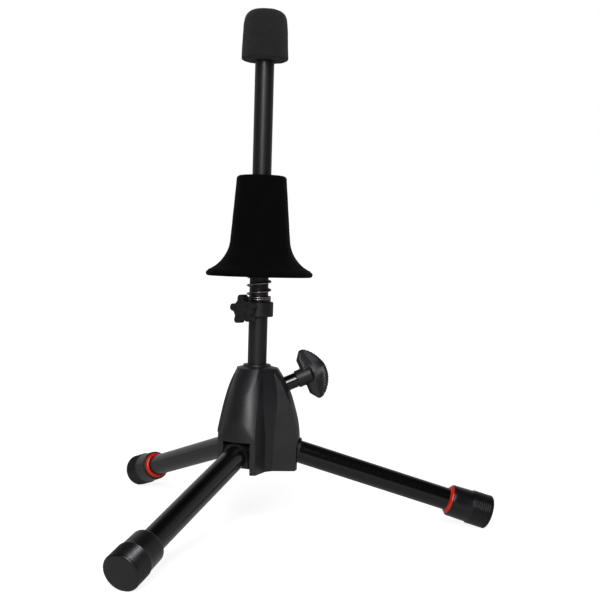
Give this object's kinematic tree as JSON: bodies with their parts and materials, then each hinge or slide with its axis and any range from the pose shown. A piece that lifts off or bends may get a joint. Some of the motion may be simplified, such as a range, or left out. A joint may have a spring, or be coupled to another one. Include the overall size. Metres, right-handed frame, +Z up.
{
  "type": "saxophone stand",
  "caption": "Folding tripod stand with a sprung velvet bell cone and a foam tip on a height-adjustable rod, for a soprano saxophone or flugelhorn.",
  "frame": {"origin": "middle of the box round the stand, at floor level under the open feet", "axes": "+Z up along the rod; +X from the rod towards leg 1, the leg under the wing knob; +Y completes a right-handed frame"},
  "size_m": [0.3228, 0.3692, 0.436],
  "materials": {
    "hub": "satin moulded black, fine grain",
    "knuckle": "satin moulded black",
    "tube_black": "gloss black powder coat",
    "rod_black": "satin black powder coat",
    "cap_rubber": "matt black moulded rubber",
    "ring_red": "gloss orange-red",
    "foam": "open-pored black foam",
    "velvet": "flocked black velvet",
    "core_plastic": "moulded black",
    "spring_steel": "oiled spring wire",
    "collar_plastic": "satin moulded black",
    "knob_plastic": "satin moulded black",
    "sleeve_gloss": "high gloss black",
    "steel": "bright zinc",
    "brass": "turned brass",
    "plug_plastic": "moulded black"
  },
  "bodies": {
    "hub": {"hub_body": "hub", "hub_base": "hub", "base_screws": "steel", "pivot_pins": "steel", "t_sleeve": "sleeve_gloss"},
    "rod": {"rod_tube": "rod_black", "rod_bottom_plug": "plug_plastic", "rod_top_plug": "plug_plastic", "foam_tip": "foam"},
    "spring_seat": {"spring": "spring_steel"},
    "collar": {"stop_collar": "collar_plastic"},
    "collar_clamp": {"collar_pad": "brass"},
    "star": {"star_knob": "knob_plastic", "star_stud": "steel"},
    "bell_cone": {"cone_core": "core_plastic", "cone_cover": "velvet"},
    "hub_clamp": {"clamp_pad": "brass"},
    "wing": {"t_knob": "knob_plastic", "t_stud": "steel"},
    "leg_1": {"leg_knuckle_1": "knuckle", "leg_tube_1": "tube_black", "foot_ring_1": "ring_red", "foot_cap_1": "cap_rubber"},
    "leg_2": {"leg_knuckle_2": "knuckle", "leg_tube_2": "tube_black", "foot_ring_2": "ring_red", "foot_cap_2": "cap_rubber"},
    "leg_3": {"leg_knuckle_3": "knuckle", "leg_tube_3": "tube_black", "foot_ring_3": "ring_red", "foot_cap_3": "cap_rubber"}
  },
  "joints": [
    {"name": "leg_fold_1", "type": "hinge", "parent": "hub", "child": "leg_1", "pos_m": [-0.02597, 0, 0.07068], "axis": [0, 1, 0], "range_deg": [0, 72.6]},
    {"name": "leg_fold_2", "type": "hinge", "parent": "hub", "child": "leg_2", "pos_m": [-0.05747, 0.01819, 0.07068], "axis": [-0.866, -0.5, 0], "range_deg": [0, 72.6]},
    {"name": "leg_fold_3", "type": "hinge", "parent": "hub", "child": "leg_3", "pos_m": [-0.05747, -0.01819, 0.07068], "axis": [0.866, -0.5, 0], "range_deg": [0, 72.6]},
    {"name": "rod_height", "type": "slide", "parent": "hub", "child": "rod", "axis": [0, 0, 1], "range_m": [0, 0.04]},
    {"name": "collar_height", "type": "slide", "parent": "rod", "child": "spring_seat", "axis": [0, 0, 1], "range_m": [-0.032, 0.082]},
    {"name": "collar_turn", "type": "hinge", "parent": "spring_seat", "child": "collar", "pos_m": [-0.04697, 0, 0.1859], "axis": [0, 0, 1], "continuous": true},
    {"name": "cone_press", "type": "slide", "parent": "spring_seat", "child": "bell_cone", "axis": [0, 0, 1], "range_m": [-0.011, 0], "stiffness_N_per_m": 350, "deforming": ["spring"]},
    {"name": "star_pad_slide", "type": "slide", "parent": "collar", "child": "collar_clamp", "axis": [-0.6984, -0.7157, 0], "range_m": [0, 0.002]},
    {"name": "star_turn", "type": "hinge", "parent": "collar_clamp", "child": "star", "pos_m": [-0.06093, -0.01431, 0.1859], "axis": [-0.6984, -0.7157, 0], "range_deg": [0, 720]},
    {"name": "wing_pad_slide", "type": "slide", "parent": "hub", "child": "hub_clamp", "axis": [0.9157, 0, 0.4019], "range_m": [0, 0.0025]},
    {"name": "wing_turn", "type": "hinge", "parent": "hub_clamp", "child": "wing", "pos_m": [-0.02267, 0, 0.12245], "axis": [0.9157, 0, 0.4019], "range_deg": [0, 720]}
  ],
  "couplings": [
    {"joint": "star_turn", "follows": "star_pad_slide", "rad_per_m": 6283.2},
    {"joint": "wing_turn", "follows": "wing_pad_slide", "rad_per_m": 5026.5}
  ]
}
